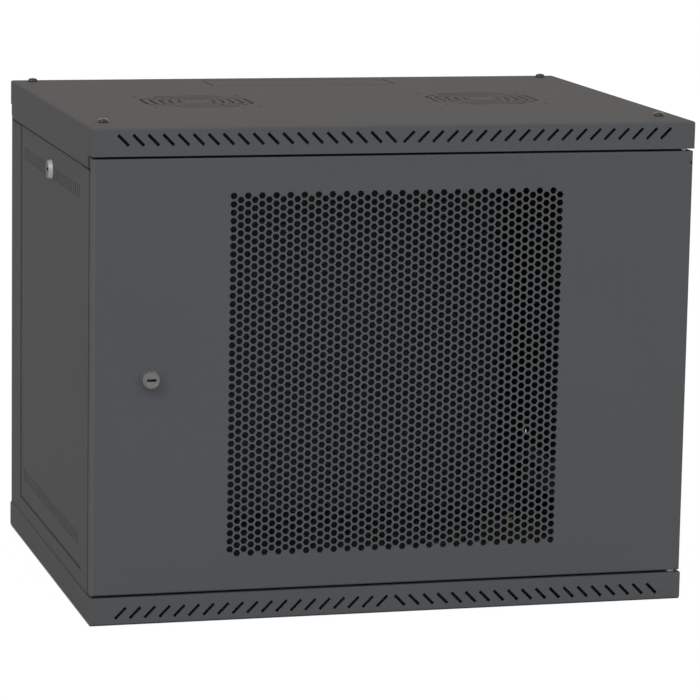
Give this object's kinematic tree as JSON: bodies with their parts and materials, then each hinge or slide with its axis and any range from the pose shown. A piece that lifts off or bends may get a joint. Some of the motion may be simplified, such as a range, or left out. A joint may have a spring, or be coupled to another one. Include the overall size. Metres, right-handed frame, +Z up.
{
  "type": "network server rack cabinet",
  "caption": "Wall-mount 19-inch network cabinet: folded steel case, perforated hinged door with cam lock, removable side panels, adjustable rack rails and fan grilles.",
  "frame": {"origin": "middle of the flat base the cabinet rests on", "axes": "+Z up, -Y out of the door's front, +X to the right (hinge side) seen from the front"},
  "size_m": [0.6036, 0.459, 0.4837],
  "materials": {
    "powder_coat": "fine-textured dark grey powder coat",
    "rail_paint": "black paint",
    "nickel": "satin nickel plating",
    "zinc_steel": "zinc plating",
    "rubber": "black rubber",
    "earth_yellow": "yellow plastic"
  },
  "bodies": {
    "cabinet": {"top_cover": "powder_coat", "bottom_cover": "powder_coat", "side_frame_left": "powder_coat", "side_frame_right": "powder_coat", "rear_panel": "powder_coat", "front_header": "powder_coat", "front_sill": "powder_coat", "cover_screws": "nickel", "depth_bracket_lower_left": "powder_coat", "depth_bracket_upper_left": "powder_coat", "depth_bracket_lower_right": "powder_coat", "depth_bracket_upper_right": "powder_coat", "upper_hinge_bracket": "powder_coat", "lower_hinge_bracket": "powder_coat", "lower_hinge_pin": "zinc_steel", "door_bumpers": "rubber", "earth_stud": "zinc_steel", "earth_nut": "zinc_steel", "earth_washer": "earth_yellow"},
    "door": {"door_panel": "powder_coat", "door_stiffener_left": "powder_coat", "door_stiffener_right": "powder_coat", "hinge_pin_guide": "powder_coat", "hinge_pin_spring": "zinc_steel", "door_lock_housing": "nickel", "door_lock_nut": "zinc_steel"},
    "door_lock": {"door_lock_core": "nickel", "door_lock_cam": "zinc_steel", "door_lock_screw": "zinc_steel"},
    "hinge_pin": {"upper_hinge_pin": "zinc_steel"},
    "side_panel_left": {"side_panel_left": "powder_coat", "side_lock_left_housing": "nickel", "side_lock_left_nut": "zinc_steel"},
    "side_lock_left": {"side_lock_left_core": "nickel", "side_lock_left_cam": "zinc_steel", "side_lock_left_screw": "zinc_steel"},
    "rail_front_left": {"rail_front_left": "rail_paint", "rail_bolts_front_left": "zinc_steel", "rail_nuts_front_left": "zinc_steel"},
    "rail_rear_left": {"rail_rear_left": "rail_paint", "rail_bolts_rear_left": "zinc_steel", "rail_nuts_rear_left": "zinc_steel"},
    "side_panel_right": {"side_panel_right": "powder_coat", "side_lock_right_housing": "nickel", "side_lock_right_nut": "zinc_steel"},
    "side_lock_right": {"side_lock_right_core": "nickel", "side_lock_right_cam": "zinc_steel", "side_lock_right_screw": "zinc_steel"},
    "rail_front_right": {"rail_front_right": "rail_paint", "rail_bolts_front_right": "zinc_steel", "rail_nuts_front_right": "zinc_steel"},
    "rail_rear_right": {"rail_rear_right": "rail_paint", "rail_bolts_rear_right": "zinc_steel", "rail_nuts_rear_right": "zinc_steel"}
  },
  "joints": [
    {"name": "door_hinge", "type": "hinge", "parent": "cabinet", "child": "door", "pos_m": [0.291, -0.2165, 0.24], "axis": [0, 0, 1], "range_deg": [0, 180]},
    {"name": "door_lock_turn", "type": "hinge", "parent": "door", "child": "door_lock", "pos_m": [-0.243, -0.225, 0.24], "axis": [0, -1, 0], "range_deg": [0, 90]},
    {"name": "hinge_pin_slide", "type": "slide", "parent": "door", "child": "hinge_pin", "axis": [0, 0, -1], "range_m": [0, 0.0095], "stiffness_N_per_m": 500, "springref_m": -0.006, "deforming": ["hinge_pin_spring"]},
    {"name": "side_panel_left_off", "type": "slide", "parent": "cabinet", "child": "side_panel_left", "axis": [-1, 0, 0], "range_m": [0, 0.08]},
    {"name": "side_lock_left_turn", "type": "hinge", "parent": "side_panel_left", "child": "side_lock_left", "pos_m": [-0.2978, 0, 0.4137], "axis": [1, 0, 0], "range_deg": [0, 90]},
    {"name": "rail_front_left_shift", "type": "slide", "parent": "cabinet", "child": "rail_front_left", "axis": [0, 1, 0], "range_m": [0, 0.06]},
    {"name": "rail_rear_left_shift", "type": "slide", "parent": "cabinet", "child": "rail_rear_left", "axis": [0, 1, 0], "range_m": [-0.06, 0]},
    {"name": "side_panel_right_off", "type": "slide", "parent": "cabinet", "child": "side_panel_right", "axis": [1, 0, 0], "range_m": [0, 0.08]},
    {"name": "side_lock_right_turn", "type": "hinge", "parent": "side_panel_right", "child": "side_lock_right", "pos_m": [0.2978, 0, 0.4137], "axis": [1, 0, 0], "range_deg": [0, 90]},
    {"name": "rail_front_right_shift", "type": "slide", "parent": "cabinet", "child": "rail_front_right", "axis": [0, 1, 0], "range_m": [0, 0.06]},
    {"name": "rail_rear_right_shift", "type": "slide", "parent": "cabinet", "child": "rail_rear_right", "axis": [0, 1, 0], "range_m": [-0.06, 0]}
  ]
}
